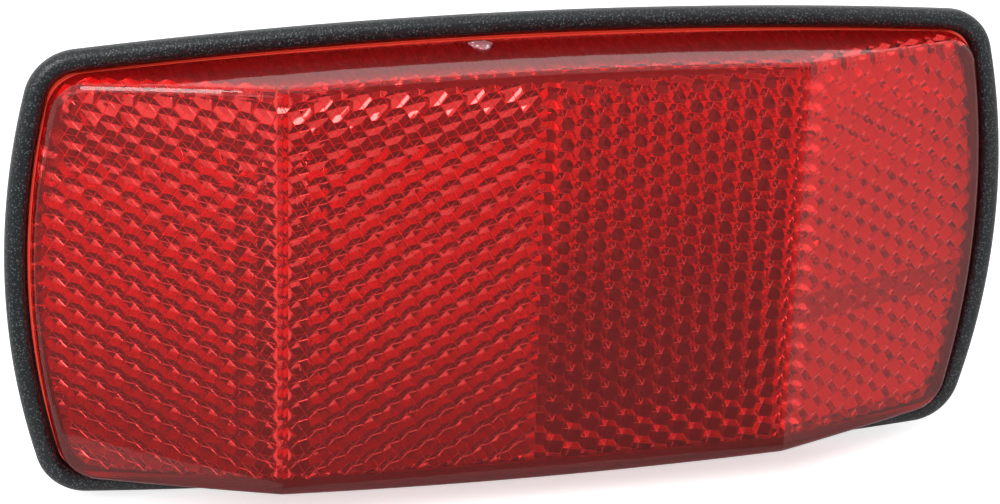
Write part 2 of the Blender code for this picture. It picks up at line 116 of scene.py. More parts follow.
def skin(rings, caps):
    """A closed surface: row k of points joined to row k + 1, and faces over its two ends.

    Point n of a row is joined to n + 1, the last one to the first. Each cap is a list of the
    places in the row of one flat face.
    """
    rings = np.asarray(rings)
    rows, count = rings.shape[:2]
    near = np.arange(rows - 1)[:, None] * count + np.arange(count)
    after = np.arange(rows - 1)[:, None] * count + (np.arange(count) + 1) % count
    quads = np.stack([near, after, after + count, near + count], -1).reshape(-1, 4)
    faces = quads.tolist()
    faces += [list(face) for face in caps]
    faces += [[(rows - 1) * count + k for k in reversed(face)] for face in caps]
    return rings.reshape(-1, 3), faces


def solid(name, points, faces):
    """A new piece from points in mm, with its faces pointing outwards."""
    mesh = bpy.data.meshes.new(name)
    mesh.from_pydata((np.asarray(points) * MM).tolist(), [], faces)
    form = bmesh.new()
    form.from_mesh(mesh)
    bmesh.ops.recalc_face_normals(form, faces=form.faces)
    form.to_mesh(mesh)
    form.free()
    piece = bpy.data.objects.new(name, mesh)
    bpy.context.scene.collection.objects.link(piece)
    return piece


def combine(piece, others, operation):
    """Joins, cuts or keeps the common part of a piece with each other one, and removes those."""
    for other in others:
        modifier = piece.modifiers.new(other.name, "BOOLEAN")
        modifier.operation = operation
        modifier.solver = "EXACT"
        modifier.object = other
    graph = bpy.context.evaluated_depsgraph_get()
    mesh = bpy.data.meshes.new_from_object(piece.evaluated_get(graph))
    piece.modifiers.clear()
    piece.data = mesh
    for other in others:
        bpy.data.objects.remove(other, do_unlink=True)


def quarter_round(radius, steps):
    """How far in and how far forward each step of a quarter round lies: r (1 - cos), r sin."""
    angle = np.linspace(0.0, math.pi / 2, steps + 1)
    return np.stack([radius * (1 - np.cos(angle)), radius * np.sin(angle)], 1)


def turned(name, profile, x, steps=64):
    """A profile of (radius, depth) carried round an axis along Y at x: (r cos, depth, r sin)."""
    profile = np.asarray(profile)
    angle = np.linspace(0.0, 2 * math.pi, steps, endpoint=False)
    radius, depth = profile[:, :1], profile[:, 1:]
    rows = np.stack([x + radius * np.cos(angle), depth + 0 * angle, radius * np.sin(angle)], -1)
    return solid(name, *skin(rows, [list(range(steps))]))


def housing_taper(depth):
    """How far in the tray's side lies at a depth: the rim's round, then the taper's tangent."""
    return RIM_ROUND + (depth - RIM_BACK) * math.tan(BODY_TAPER)


def make_housing():
    """The tray's section carried round its outline, then the pad, bosses and pockets."""
    outline = bowed_outline(HALF_WIDTH, HALF_HEIGHT, SIDE_BOW, TOP_BOW, CORNER_RADIUS)
    count = len(outline[0])
    quarter = quarter_round(RIM_ROUND, RIM_STEPS)
    turn = math.pi / 2 - BODY_TAPER
    bend = np.linspace(0.0, turn, BEND_STEPS)
    reach = BACK_EDGE_ROUND * math.tan(turn / 2)
    start = housing_taper(PLATE_BACK) + reach
    section = [(start - BACK_EDGE_ROUND * math.sin(a),
                PLATE_BACK - BACK_EDGE_ROUND * (1 - math.cos(a))) for a in bend]
    section += [(RIM_ROUND - f, RIM_BACK - i) for i, f in quarter]
    section += [(i, RIM_FRONT + RIM_ROUND - f) for i, f in quarter]
    section += [(RIM_WIDTH - i, RIM_FRONT + RIM_ROUND - f) for i, f in quarter[::-1]]
    section += [(RIM_WIDTH, LEDGE), (RIM_WIDTH + LEDGE_WIDTH, LEDGE),
                (housing_taper(PLATE_FRONT) + HOUSING_WALL, PLATE_FRONT)]
    rings = [ring(outline, inset, depth) for inset, depth in section]
    tray = solid("housing_shell", *skin(rings, [list(range(count))]))

    inside = (PLATE_BACK + PLATE_FRONT) / 2
    cx, cz = PAD_WIDTH / 2 - PAD_CORNER, PAD_TALL / 2 - PAD_CORNER
    corners = [(cx, cz), (-cx, cz), (-cx, -cz), (cx, -cz)]
    arcs = [arc(c, PAD_CORNER, k * math.pi / 2, (k + 1) * math.pi / 2, PAD_STEPS)
            for k, c in enumerate(corners)]
    pad_outline = tuple(np.concatenate(rows) for rows in zip(*arcs))
    soft_edge = [(i, f - PAD_EDGE_ROUND) for i, f in quarter_round(PAD_EDGE_ROUND, EDGE_STEPS)]
    pad_rings = [ring(pad_outline, 0.0, inside)]
    pad_rings += [ring(pad_outline, inset, depth) for inset, depth in soft_edge]
    joined = [solid("pad", *skin(pad_rings, [list(range(len(pad_outline[0])))]))]
    cut = []
    for x in (-BOLT_X, BOLT_X):
        boss = [(BOSS_RADIUS, inside)] + [(BOSS_RADIUS - inset, depth) for inset, depth in soft_edge]
        collar = [(COLLAR_RADIUS, inside), (COLLAR_RADIUS, PLATE_FRONT - COLLAR_HEIGHT)]
        joined.append(turned("boss", boss, x))
        joined.append(turned("collar", collar, x))
        corner = POCKET_FLATS / math.sqrt(3)
        cut.append(turned("pocket", [(corner, PLATE_FRONT), (corner, RIM_FRONT)], x, 6))
        cut.append(turned("hole", [(HOLE_RADIUS, PAST_BACK), (HOLE_RADIUS, RIM_FRONT)], x))
    combine(tray, joined, "UNION")
    combine(tray, cut, "DIFFERENCE")
    tray.data.shade_smooth()
    tray.data.set_sharp_from_angle(angle=HOUSING_SHARP)
    return tray


def new_material(name, colour, roughness, metallic=0.0):
    """A material with its Principled shader's plain values set, and the shader and its tree."""
    material = bpy.data.materials.new(name)
    material.use_nodes = True
    shader = material.node_tree.nodes["Principled BSDF"]
    shader.inputs["Base Color"].default_value = (*colour, 1.0)
    shader.inputs["Roughness"].default_value = roughness
    shader.inputs["Metallic"].default_value = metallic
    return material, shader, material.node_tree


def fade(tree, value, start, end, low=0.0, high=1.0):
    """Goes evenly from low to high as a value goes from start to end, and stays there beyond."""
    node = tree.nodes.new("ShaderNodeMapRange")
    for name, number in (("From Min", start), ("From Max", end), ("To Min", low), ("To Max", high)):
        node.inputs[name].default_value = number
    tree.links.new(value, node.inputs["Value"])
    return node.outputs["Result"]


GRAIN_DETAIL, GRAIN_HEIGHT = 3.0, 0.1
SPECK_RIM, SPECK_CORE = 0.35, 0.15
CLOUD_SCALE, CLOUD_DETAIL = 90.0, 4.0


def speckle_group():
    """Grain and fine dust on moulded plastic or plated steel.

    It puts out a bump, a mask of small specks, which is 1 close to the points of a cell pattern,
    and a mask of wide soft clouds.
    """
    group = bpy.data.node_groups.new("grain_and_dust", "ShaderNodeTree")
    sockets = [("Grain Size", "INPUT", "Float"), ("Grain Depth", "INPUT", "Float"),
               ("Dust Size", "INPUT", "Float"), ("Dust", "OUTPUT", "Float"),
               ("Clouds", "OUTPUT", "Float"), ("Normal", "OUTPUT", "Vector")]
    for name, way, kind in sockets:
        group.interface.new_socket(name, in_out=way, socket_type="NodeSocket" + kind)
    nodes, links = group.nodes, group.links
    start = nodes.new("NodeGroupInput")
    end = nodes.new("NodeGroupOutput")
    place = nodes.new("ShaderNodeTexCoord")
    grain = nodes.new("ShaderNodeTexNoise")
    grain.inputs["Detail"].default_value = GRAIN_DETAIL
    bump = nodes.new("ShaderNodeBump")
    bump.inputs["Distance"].default_value = GRAIN_HEIGHT * MM
    links.new(place.outputs["Object"], grain.inputs["Vector"])
    links.new(start.outputs["Grain Size"], grain.inputs["Scale"])
    links.new(grain.outputs["Fac"], bump.inputs["Height"])
    links.new(start.outputs["Grain Depth"], bump.inputs["Strength"])
    links.new(bump.outputs["Normal"], end.inputs["Normal"])
    dust = nodes.new("ShaderNodeTexVoronoi")
    links.new(place.outputs["Object"], dust.inputs["Vector"])
    links.new(start.outputs["Dust Size"], dust.inputs["Scale"])
    links.new(fade(group, dust.outputs["Distance"], SPECK_RIM, SPECK_CORE), end.inputs["Dust"])
    clouds = nodes.new("ShaderNodeTexNoise")
    clouds.inputs["Scale"].default_value = CLOUD_SCALE
    clouds.inputs["Detail"].default_value = CLOUD_DETAIL
    links.new(place.outputs["Object"], clouds.inputs["Vector"])
    links.new(clouds.outputs["Fac"], end.inputs["Clouds"])
    return group


grain_and_dust = speckle_group()


def surface_detail(tree, shader, grain_size, grain_depth, dust_size):
    """Puts the grain and dust group into a material and hands back its node.

    Both sizes are in cells per metre.
    """
    detail = tree.nodes.new("ShaderNodeGroup")
    detail.node_tree = grain_and_dust
    detail.inputs["Grain Size"].default_value = grain_size
    detail.inputs["Grain Depth"].default_value = grain_depth
    detail.inputs["Dust Size"].default_value = dust_size
    tree.links.new(detail.outputs["Normal"], shader.inputs["Normal"])
    return detail


def vary(tree, amount, socket, low, high):
    """Spreads a mask over a socket: from low where it is 0 to high where it is 1."""
    spread = tree.nodes.new("ShaderNodeMix")
    if isinstance(low, tuple):
        spread.data_type = "RGBA"
        first, second, result = spread.inputs[6], spread.inputs[7], spread.outputs[2]
        low, high = (*low, 1.0), (*high, 1.0)
    else:
        first, second, result = spread.inputs[2], spread.inputs[3], spread.outputs[0]
    first.default_value, second.default_value = low, high
    tree.links.new(amount, spread.inputs[0])
    tree.links.new(result, socket)


PLAIN_BLACK, DARK_BLACK, PALE_SPECK = (0.012, 0.014, 0.016), (0.006, 0.008, 0.01), (0.1, 0.112, 0.116)
black_plastic, shader, tree = new_material("black_plastic", PLAIN_BLACK, 0.36)
detail = surface_detail(tree, shader, grain_size=3600.0, grain_depth=1.0, dust_size=3900.0)
vary(tree, detail.outputs["Dust"], shader.inputs["Base Color"], DARK_BLACK, PALE_SPECK)
vary(tree, detail.outputs["Clouds"], shader.inputs["Roughness"], 0.22, 0.42)

housing = make_housing()
housing.data.materials.append(black_plastic)
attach(housing, "root")
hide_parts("housing")

# Bolts
# Zinc-plated M5 hexagon bolts, pressed from steel with a rolled thread. Their heads sit in the
# pockets inside the housing, so they can't turn, and their shanks come out of its back.
HEAD_FRONT, HEAD_SEAT, HEX_FLATS, CROWN_RADIUS = -6.8, -3.3, 8.0, 3.7
CROWN_ANGLE = math.radians(30.0)
BOLT_RADIUS, BOLT_LENGTH, THREAD_PITCH, THREAD_DEPTH, TIP_CHAMFER = 2.5, 16.0, 0.8, 0.42, 0.6
THREAD_ROWS, FLANK_STEEPNESS, CREST_WIDTH = 9, 1.5, 0.25
HEX_STEPS, CROWN_STEPS = 72, 7
HEX_REACH = HEX_FLATS / math.sqrt(3) + 0.1
STEEL_SHARP = math.radians(35.0)


def hexagon_radius(angle):
    """How far the hexagon's side lies from its axis: half the flats / cos(angle to the flat)."""
    return HEX_FLATS / 2 / np.cos((angle % (math.pi / 3)) - math.pi / 6)


def hexagon_rows(profile):
    """The turned profile cut back to the hexagon: the smaller of both radii at each angle."""
    profile = np.asarray(profile)
    angle = np.linspace(0.0, 2 * math.pi, HEX_STEPS, endpoint=False)
    radius = np.minimum(profile[:, :1], hexagon_radius(angle))
    depth = profile[:, 1:] + 0 * angle
    return np.stack([radius * np.cos(angle), depth, radius * np.sin(angle)], -1)


def crown(face, other):
    """The turned-off corners of a hexagon's face: from the crown out to past the corners.

    The depth goes from the face towards the other one by (radius - crown's radius) x tangent.
    """
    way = math.copysign(1.0, other - face)
    reach = np.linspace(0.0, 1.0, CROWN_STEPS)
    radius = CROWN_RADIUS + reach * (HEX_REACH - CROWN_RADIUS)
    return list(zip(radius, face + way * (radius - CROWN_RADIUS) * math.tan(CROWN_ANGLE)))


def thread_rows(start, end, radius):
    """A rolled thread: the radius falls by the thread's depth between one crest and the next.

    The phase at an angle and depth is depth / pitch - angle / turn, and the flank is the
    distance to the nearest crest, made steeper and cut off at the crest and the root.
    """
    rows = round((end - start) / THREAD_PITCH * THREAD_ROWS)
    depth = np.linspace(start, end, rows + 1)[:, None]
    angle = np.linspace(0.0, 2 * math.pi, HEX_STEPS, endpoint=False)
    phase = (depth / THREAD_PITCH - angle / (2 * math.pi)) % 1.0
    flank = np.clip(FLANK_STEEPNESS * np.abs(2 * phase - 1) - CREST_WIDTH, 0.0, 1.0)
    away = radius - THREAD_DEPTH * flank
    away = np.minimum(away, radius - TIP_CHAMFER + (end - depth))
    return np.stack([away * np.cos(angle), depth + 0 * angle, away * np.sin(angle)], -1)


def seat_part(name, points, faces, x, material, node):
    """Places a steel part on a bolt's axis, shades it, and gives it to the frame."""
    piece = solid(name, points + [x, 0, 0], faces)
    piece.data.shade_smooth()
    piece.data.set_sharp_from_angle(angle=STEEL_SHARP)
    piece.data.materials.append(material)
    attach(piece, "root")
    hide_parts(node)
    return piece


zinc, shader, tree = new_material("bright_zinc", (0.66, 0.67, 0.68), 0.3, metallic=1.0)
detail = surface_detail(tree, shader, grain_size=2600.0, grain_depth=0.35, dust_size=1500.0)
vary(tree, detail.outputs["Clouds"], shader.inputs["Roughness"], 0.2, 0.42)
vary(tree, detail.outputs["Clouds"], shader.inputs["Base Color"], (0.6, 0.61, 0.63), (0.74, 0.74, 0.73))

tip = HEAD_SEAT + BOLT_LENGTH
for side, x in (("left", -BOLT_X), ("right", BOLT_X)):
    head = crown(HEAD_FRONT, HEAD_SEAT) + [(HEX_REACH, HEAD_SEAT), (BOLT_RADIUS, HEAD_SEAT)]
    rows = np.concatenate([hexagon_rows(head), thread_rows(HEAD_SEAT, tip, BOLT_RADIUS)])
    seat_part("hex_bolt_" + side, *skin(rows, [list(range(HEX_STEPS))]), x, zinc, "bolt_" + side)

# Washers, lock washers and nuts
# Zinc-plated steel, stamped, coiled and pressed. They go over each shank in this order, and clamp
# the carrier's plate against the pad.
WASHER_START, WASHER_THICKNESS, WASHER_RADIUS = 0.3, 1.0, 5.0
LOCK_START, LOCK_THICKNESS, LOCK_RADIUS, LOCK_SLIT = 1.6, 1.2, 4.6, 0.8
SLIT_ANGLE = math.radians(20.0)
COIL_RISE, COIL_STEPS = 0.08, 70
WASHER_EDGE, COIL_EDGE, RING_EDGE_STEPS = 0.12, 0.15, 4
NUT_START, NUT_HEIGHT, NUT_BEVEL = 3.1, 4.0, 0.3
RING_BORE, NUT_BORE = 2.8, 2.56


def rounded_section(inner, outer, start, end, radius):
    """A rectangle of (radius, depth) with round corners, as a loop of points."""
    corners = [((outer - radius, end - radius), 0), ((inner + radius, end - radius), 1),
               ((inner + radius, start + radius), 2), ((outer - radius, start + radius), 3)]
    turns = [arc(centre, radius, k * math.pi / 2, (k + 1) * math.pi / 2, RING_EDGE_STEPS)[0]
             for centre, k in corners]
    return np.concatenate(turns)


def loop_rows(section):
    """A closed section carried right round the axis, as rows that also close on themselves."""
    angle = np.linspace(0.0, 2 * math.pi, HEX_STEPS, endpoint=False)[:, None]
    radius, depth = section[:, 0], section[:, 1]
    return np.stack([radius * np.cos(angle), depth + 0 * angle, radius * np.sin(angle)], -1)


def closed_loop(rows):
    """A skin whose last row joins its first, so it needs no caps."""
    count, width = rows.shape[:2]
    a = np.arange(count)[:, None] * width
    b = (np.arange(count)[:, None] + 1) % count * width
    k, n = np.arange(width), (np.arange(width) + 1) % width
    faces = np.stack([a + k, a + n, b + n, b + k], -1).reshape(-1, 4)
    return rows.reshape(-1, 3), faces.tolist()


for side, x in (("left", -BOLT_X), ("right", BOLT_X)):
    washer_end = WASHER_START + WASHER_THICKNESS
    flat = rounded_section(RING_BORE, WASHER_RADIUS, WASHER_START, washer_end, WASHER_EDGE)
    seat_part("flat_washer_" + side, *closed_loop(loop_rows(flat)), x, zinc, "washer_" + side)

    coil_start, coil_end = LOCK_START + COIL_RISE, LOCK_START + LOCK_THICKNESS - COIL_RISE
    coil = rounded_section(RING_BORE, LOCK_RADIUS, coil_start, coil_end, COIL_EDGE)
    middle = (RING_BORE + LOCK_RADIUS) / 2
    half_slit = LOCK_SLIT / 2 / middle
    turn = np.linspace(half_slit, 2 * math.pi - half_slit, COIL_STEPS)[:, None]
    slant = (coil[:, 1] - LOCK_START - LOCK_THICKNESS / 2) * math.tan(SLIT_ANGLE) / middle
    angle = turn - slant
    rise = COIL_RISE * (turn / math.pi - 1.0)
    rows = np.stack([coil[:, 0] * np.cos(angle), coil[:, 1] + rise, coil[:, 0] * np.sin(angle)], -1)
    seat_part("split_washer_" + side, *skin(rows, [list(range(len(coil)))]), x, zinc,
              "lock_washer_" + side)

    end = NUT_START + NUT_HEIGHT
    outside = [(NUT_BORE, NUT_START + NUT_BEVEL), (NUT_BORE + NUT_BEVEL, NUT_START)]
    outside += crown(NUT_START, end) + crown(end, NUT_START)[::-1]
    outside += [(NUT_BORE + NUT_BEVEL, end), (NUT_BORE, end - NUT_BEVEL)]
    rows = hexagon_rows(outside)
    seat_part("hex_nut_" + side, *closed_loop(rows), x, zinc, "nut_" + side)

# Cover behind the prisms
# A thin sheet moulded in white plastic and welded in behind the prisms, which keeps the air gap
# that they need dry. Painted on its white as shade seen through the prisms: a dark dot behind
# each prism of the inner right zone, a faint dark stripe across it, and darker towards the bottom.
DOT_X, DOT_Z = 0.233, -0.34
DOT_WAVES = ((3.2828, 0.0), (1.6414, 2.8431), (-1.6414, 2.8431))
DOT_SOFTNESS, DOT_GROWTH = 0.1, -0.026
ZONE_START, ZONE_END, ZONE_BLUR = -1.0, 27.5, 1.0
STRIPE_Z, STRIPE_HALF, STRIPE_START, STRIPE_TONE = -6.5, 1.6, -17.0, 0.45
SHADE_TOP, SHADE_BOTTOM, SHADE_TONE = 6.0, -14.0, 0.85
BRIGHT_WING, WING_BLUR, WING_SHADE = 29.0, 4.0, 0.05
SHEET_WHITE, PAINTED_DARK = (0.98, 0.98, 0.96), (0.01, 0.01, 0.01)


def mask_math(tree, operation, *values):
    """One step of arithmetic, where each value is a number or another node's output."""
    node = tree.nodes.new("ShaderNodeMath")
    node.operation = operation
    for socket, value in zip(node.inputs, values):
        if isinstance(value, bpy.types.NodeSocket):
            tree.links.new(value, socket)
        else:
            socket.default_value = value
    return node.outputs["Value"]


def lattice_dots(tree, place):
    """The sum of three cosines over the sheet, which is largest behind each prism's middle.

    Each is cos(across x (x - DOT_X) + up x (z - DOT_Z)), and the three run 60 degrees apart.
    """
    waves = []
    for across, up in DOT_WAVES:
        along = tree.nodes.new("ShaderNodeVectorMath")
        along.operation = "DOT_PRODUCT"
        along.inputs[1].default_value = (across / MM, 0.0, up / MM)
        tree.links.new(place, along.inputs[0])
        phase = mask_math(tree, "SUBTRACT", along.outputs["Value"], across * DOT_X + up * DOT_Z)
        waves.append(mask_math(tree, "COSINE", phase))
    return mask_math(tree, "ADD", mask_math(tree, "ADD", waves[0], waves[1]), waves[2])


white_plastic, shader, tree = new_material("white_plastic", (0.85, 0.85, 0.83), 0.5)
detail = surface_detail(tree, shader, grain_size=2200.0, grain_depth=0.3, dust_size=700.0)
place = tree.nodes.new("ShaderNodeTexCoord")
parted = tree.nodes.new("ShaderNodeSeparateXYZ")
tree.links.new(place.outputs["Object"], parted.inputs["Vector"])
x, z = parted.outputs["X"], parted.outputs["Z"]

# Painted shade: a dark dot behind each prism of the inner right zone.
larger = mask_math(tree, "MULTIPLY_ADD", z, DOT_GROWTH / MM, lattice_dots(tree, place.outputs["Object"]))
dots = fade(tree, larger, -DOT_SOFTNESS, DOT_SOFTNESS)
after_start = fade(tree, x, ZONE_START * MM, (ZONE_START + ZONE_BLUR) * MM)
before_end = fade(tree, x, ZONE_END * MM, (ZONE_END - ZONE_BLUR) * MM)
dots = mask_math(tree, "MULTIPLY", dots, mask_math(tree, "MULTIPLY", after_start, before_end))

# Painted shade: a faint dark stripe across the sheet.
stripe = mask_math(tree, "COMPARE", z, STRIPE_Z * MM, STRIPE_HALF * MM)
begun = mask_math(tree, "GREATER_THAN", x, STRIPE_START * MM)
stripe = mask_math(tree, "MULTIPLY", mask_math(tree, "MULTIPLY", stripe, begun), STRIPE_TONE)

# Painted shade: darker towards the bottom, with almost none on the right wing.
shade = fade(tree, z, SHADE_TOP * MM, SHADE_BOTTOM * MM, 0.0, SHADE_TONE)
wing = fade(tree, x, BRIGHT_WING * MM, (BRIGHT_WING - WING_BLUR) * MM, WING_SHADE, 1.0)
shade = mask_math(tree, "MULTIPLY", shade, wing)

# The dots, the stripe and the darker lower part together are painted shade on the sheet's white.
painted_shade = mask_math(tree, "MAXIMUM", mask_math(tree, "MAXIMUM", dots, stripe), shade)
vary(tree, painted_shade, shader.inputs["Base Color"], SHEET_WHITE, PAINTED_DARK)
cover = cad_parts["prism_cover"]
cover.data.materials.clear()
cover.data.materials.append(white_plastic)

# Lens
# Clear red acrylic, moulded in one piece: a flange under the rim, two small steps, a skirt with
# fine flutes inside, and a front with two sloping wings whose inside is made of cube corners.
LENS_FRONT, FLANGE_FRONT, FLANGE_BACK = -17.9851, -8.4851, -7.2851
LENS_HALF_WIDTH, LENS_HALF_HEIGHT = 50.5, 22.9
LENS_SIDE_BOW, LENS_TOP_BOW, LENS_CORNER = 3.4, 1.95, 4.0
WING_DROP, STEP_HEIGHT, FRONT_ROUND, FRONT_ROUND_STEPS = 8.2, 0.4, 0.7, 6
WING_ANGLE = math.atan2(WING_DROP, LENS_HALF_WIDTH - CREASE)
SKIRT_DRAFT, HOLLOW_DRAFT = math.radians(4.8), math.radians(1.0)
FIELD_HALF_WIDTH, FIELD_HALF_HEIGHT, FIELD_BOW, FIELD_CORNER = 49.2, 20.5, 0.3, 3.0
FLUTE_PITCH, FLUTE_DEPTH, FLUTE_STEPS = 1.5, 0.08, 6
PRISM_PITCH, FRONT_WALL = 2.21, 1.6
PRISM_DEPTH = 2 * PRISM_PITCH / math.sqrt(6)
PRISM_EDGE, CUBE_ERROR = 0.05, 0.985
FIT = 0.3
WELD_GAP = 0.0001
MATT_SLOT, FLANGE_SLOT = 1, 2
ACRYLIC_IOR, WAVINESS_SCALE, WAVINESS = 1.49, 420.0, 0.01


def front_of(x):
    """The front's depth at x: flat up to the crease, then back by the wing's slope."""
    return LENS_FRONT + np.maximum(np.abs(x) - CREASE, 0.0) * math.tan(WING_ANGLE)


def lens_outside():
    """The flange, steps, drafted skirt and rounded front edge as rings, closed by four faces.

    The front is three of them: both wings, and the flat part between the creases.
    """
    housing_line = bowed_outline(HALF_WIDTH, HALF_HEIGHT, SIDE_BOW, TOP_BOW, CORNER_RADIUS)
    skirt_line = bowed_outline(LENS_HALF_WIDTH, LENS_HALF_HEIGHT, LENS_SIDE_BOW, LENS_TOP_BOW,
                               LENS_CORNER)
    to_crease = SIDE_STEPS + CORNER_STEPS + WING_STEPS
    half = 2 * (to_crease + CENTRE_STEPS)
    creases = [to_crease, half - to_crease, half + to_crease, 2 * half - to_crease]
    edge = RIM_WIDTH + FIT
    flange = ring(housing_line, edge, FLANGE_FRONT)
    skirt = ring(skirt_line, 0.0, FLANGE_FRONT)
    up = np.array([0.0, -STEP_HEIGHT, 0.0])
    halfway = (flange + skirt) / 2
    rings = [ring(housing_line, edge, FLANGE_BACK), flange, halfway, halfway + up, skirt + up]
    drafted = (FLANGE_FRONT - STEP_HEIGHT - front_of(skirt_line[0][:, 0])) * math.tan(SKIRT_DRAFT)
    flange_faces = (len(rings) - 1) * 2 * half
    for inward, forward in quarter_round(FRONT_ROUND, FRONT_ROUND_STEPS):
        row = ring(skirt_line, drafted + inward, 0.0)
        row[creases, 0] = np.copysign(CREASE, row[creases, 0])
        row[:, 1] = front_of(row[:, 0]) + FRONT_ROUND - forward
        rings.append(row)
    points, faces = skin(rings, [])
    last = (len(rings) - 1) * 2 * half
    a, b, c, d = creases
    places = [list(range(d, 2 * half)) + list(range(a + 1)), list(range(b, c + 1)),
              list(range(a, b + 1)) + list(range(c, d + 1))]
    faces += [[last + k for k in face] for face in places]
    faces.append(list(range(2 * half))[::-1])
    lens = solid("red_lens", points, faces)
    for face in lens.data.polygons[:flange_faces]:
        face.material_index = FLANGE_SLOT
    return lens


def prism_sheet(start, end, tall, leans_left):
    """Cube corners over a strip: rhombs between the points of a triangular grid.

    Point (i, j) lies at side * (i + j / 2) across and side * j * sqrt(3) / 2 up, and its height
    is 2, 1 or 0 half depths by (i - j) modulo 3, so that three rhombs, square to each other,
    meet at each peak.
    """
    side = PRISM_PITCH / math.sqrt(3)
    rows = math.ceil((tall / 2 + PRISM_PITCH) / PRISM_PITCH * 2)
    wide = math.ceil((end - start + 2 * PRISM_PITCH) / side) + rows
    first = round(start / side)
    i, j = np.meshgrid(np.arange(first - wide, first + wide), np.arange(-rows, rows + 1))
    across = side * (i + j / 2)
    level = ((j - i) if leans_left else (i - j)) % 3
    height = PRISM_DEPTH / 2 * (2 - level) * CUBE_ERROR
    points = np.stack([across, side * j * math.sqrt(3) / 2, height], -1)
    inside = (across > start - PRISM_PITCH) & (across < end + PRISM_PITCH)
    peak = (level == 0) & inside
    peak[[0, -1]] = False
    peak[:, [0, -1]] = False
    number = np.arange(i.size).reshape(i.shape)
    steps = [(1, 0), (0, 1), (-1, 1), (-1, 0), (0, -1), (1, -1)]
    turn = 0 if leans_left else 1
    row, column = np.nonzero(peak)
    faces = []
    for k in range(3):
        around = [steps[(2 * k + turn + offset) % 6] for offset in (-1, 0, 1)]
        corners = [number[row, column]] + [number[row + dj, column + di] for di, dj in around]
        faces.append(np.stack(corners, -1))
    faces = np.concatenate(faces)
    used, renumbered = np.unique(faces, return_inverse=True)
    return points.reshape(-1, 3)[used], renumbered.reshape(faces.shape).tolist()


def prism_block(name, start, end, leans_left, tilt, hinge):
    """The hollow behind one zone of prisms: its front is the cube corners, its back is far off.

    Their edges are slightly rounded, as moulded ones are. The prisms are turned by the wing's angle
    about its crease, cut to their strip, closed, and stood up so that their peaks face the front.
    """
    tall = 2 * (FIELD_HALF_HEIGHT + PRISM_PITCH)
    points, faces = prism_sheet(start, end, tall, leans_left)
    mesh = bpy.data.meshes.new(name)
    mesh.from_pydata(points.tolist(), [], faces)
    form = bmesh.new()
    form.from_mesh(mesh)
    bmesh.ops.recalc_face_normals(form, faces=form.faces)
    rounded = bmesh.ops.bevel(form, geom=form.edges[:], offset=PRISM_EDGE, offset_type="OFFSET",
                              segments=2, profile=0.5, affect="EDGES", clamp_overlap=True)
    for face in form.faces:
        face.smooth = False
    for face in rounded["faces"]:
        face.smooth = True
    bmesh.ops.translate(form, verts=form.verts, vec=(0, 0, FRONT_WALL))
    bmesh.ops.rotate(form, verts=form.verts, cent=(0, 0, 0), matrix=Matrix.Rotation(tilt, 3, "Y"))
    sides = [((start, 0, 0), (-1, 0, 0)), ((end, 0, 0), (1, 0, 0)),
             ((0, tall / 2, 0), (0, 1, 0)), ((0, -tall / 2, 0), (0, -1, 0))]
    for point, outward in sides:
        everything = form.verts[:] + form.edges[:] + form.faces[:]
        bmesh.ops.bisect_plane(form, geom=everything, dist=WELD_GAP, plane_co=point,
                               plane_no=outward, clear_outer=True)
    border = [edge for edge in form.edges if edge.is_boundary]
    walls = bmesh.ops.extrude_edge_only(form, edges=border)["geom"]
    for item in walls:
        if isinstance(item, bmesh.types.BMVert):
            item.co.z = 2 * (FLANGE_BACK - LENS_FRONT)
    open_edges = [item for item in walls
                  if isinstance(item, bmesh.types.BMEdge) and item.is_boundary]
    bmesh.ops.contextual_create(form, geom=open_edges)
    bmesh.ops.rotate(form, verts=form.verts, cent=(0, 0, 0),
                     matrix=Matrix.Rotation(-math.pi / 2, 3, "X"))
    bmesh.ops.translate(form, verts=form.verts, vec=(hinge, LENS_FRONT, 0))
    bmesh.ops.scale(form, verts=form.verts, vec=(MM, MM, MM))
    bmesh.ops.recalc_face_normals(form, faces=form.faces)
    form.to_mesh(mesh)
    form.free()
    piece = bpy.data.objects.new(name, mesh)
    bpy.context.scene.collection.objects.link(piece)
    return piece


def weld(piece):
    """Joins points closer than the weld gap, which a cut can leave behind."""
    form = bmesh.new()
    form.from_mesh(piece.data)
    bmesh.ops.remove_doubles(form, verts=form.verts, dist=WELD_GAP * MM)
    bmesh.ops.dissolve_degenerate(form, edges=form.edges, dist=WELD_GAP * MM)
    form.to_mesh(piece.data)
    form.free()


def fluted_hollow():
    """The skirt's inside: its outline's inset waves as half the flute's depth x (1 - cos)."""
    points, inwards = bowed_outline(FIELD_HALF_WIDTH, FIELD_HALF_HEIGHT, LENS_SIDE_BOW, FIELD_BOW,
                                    FIELD_CORNER)
    closed = np.concatenate([points, points[:1]])
    ways = np.concatenate([inwards, inwards[:1]])
    travelled = np.concatenate([[0.0], np.cumsum(np.hypot(*np.diff(closed, axis=0).T))])
    flutes = round(travelled[-1] / FLUTE_PITCH)
    steps = FLUTE_STEPS * flutes
    at = np.arange(steps) * travelled[-1] / steps
    wall = np.stack([np.interp(at, travelled, closed[:, k]) for k in (0, 1)], 1)
    ways = np.stack([np.interp(at, travelled, ways[:, k]) for k in (0, 1)], 1)
    depth = FLUTE_DEPTH / 2 * (1 - np.cos(2 * math.pi * np.arange(steps) / FLUTE_STEPS))
    spread = (2 * FIT + FLANGE_BACK - LENS_FRONT) * math.tan(HOLLOW_DRAFT)
    rings = [ring((wall, ways), depth, LENS_FRONT + FIT),
             ring((wall, ways), depth - spread, FLANGE_BACK + FIT)]
    return solid("hollow", *skin(rings, [list(range(steps))]))


def add_reds(piece):
    """Gives a part of the lens its three finishes: polished, matt inside, and the flange's."""
    for material in (red_acrylic, matt_red, flange_red):
        piece.data.materials.append(material)


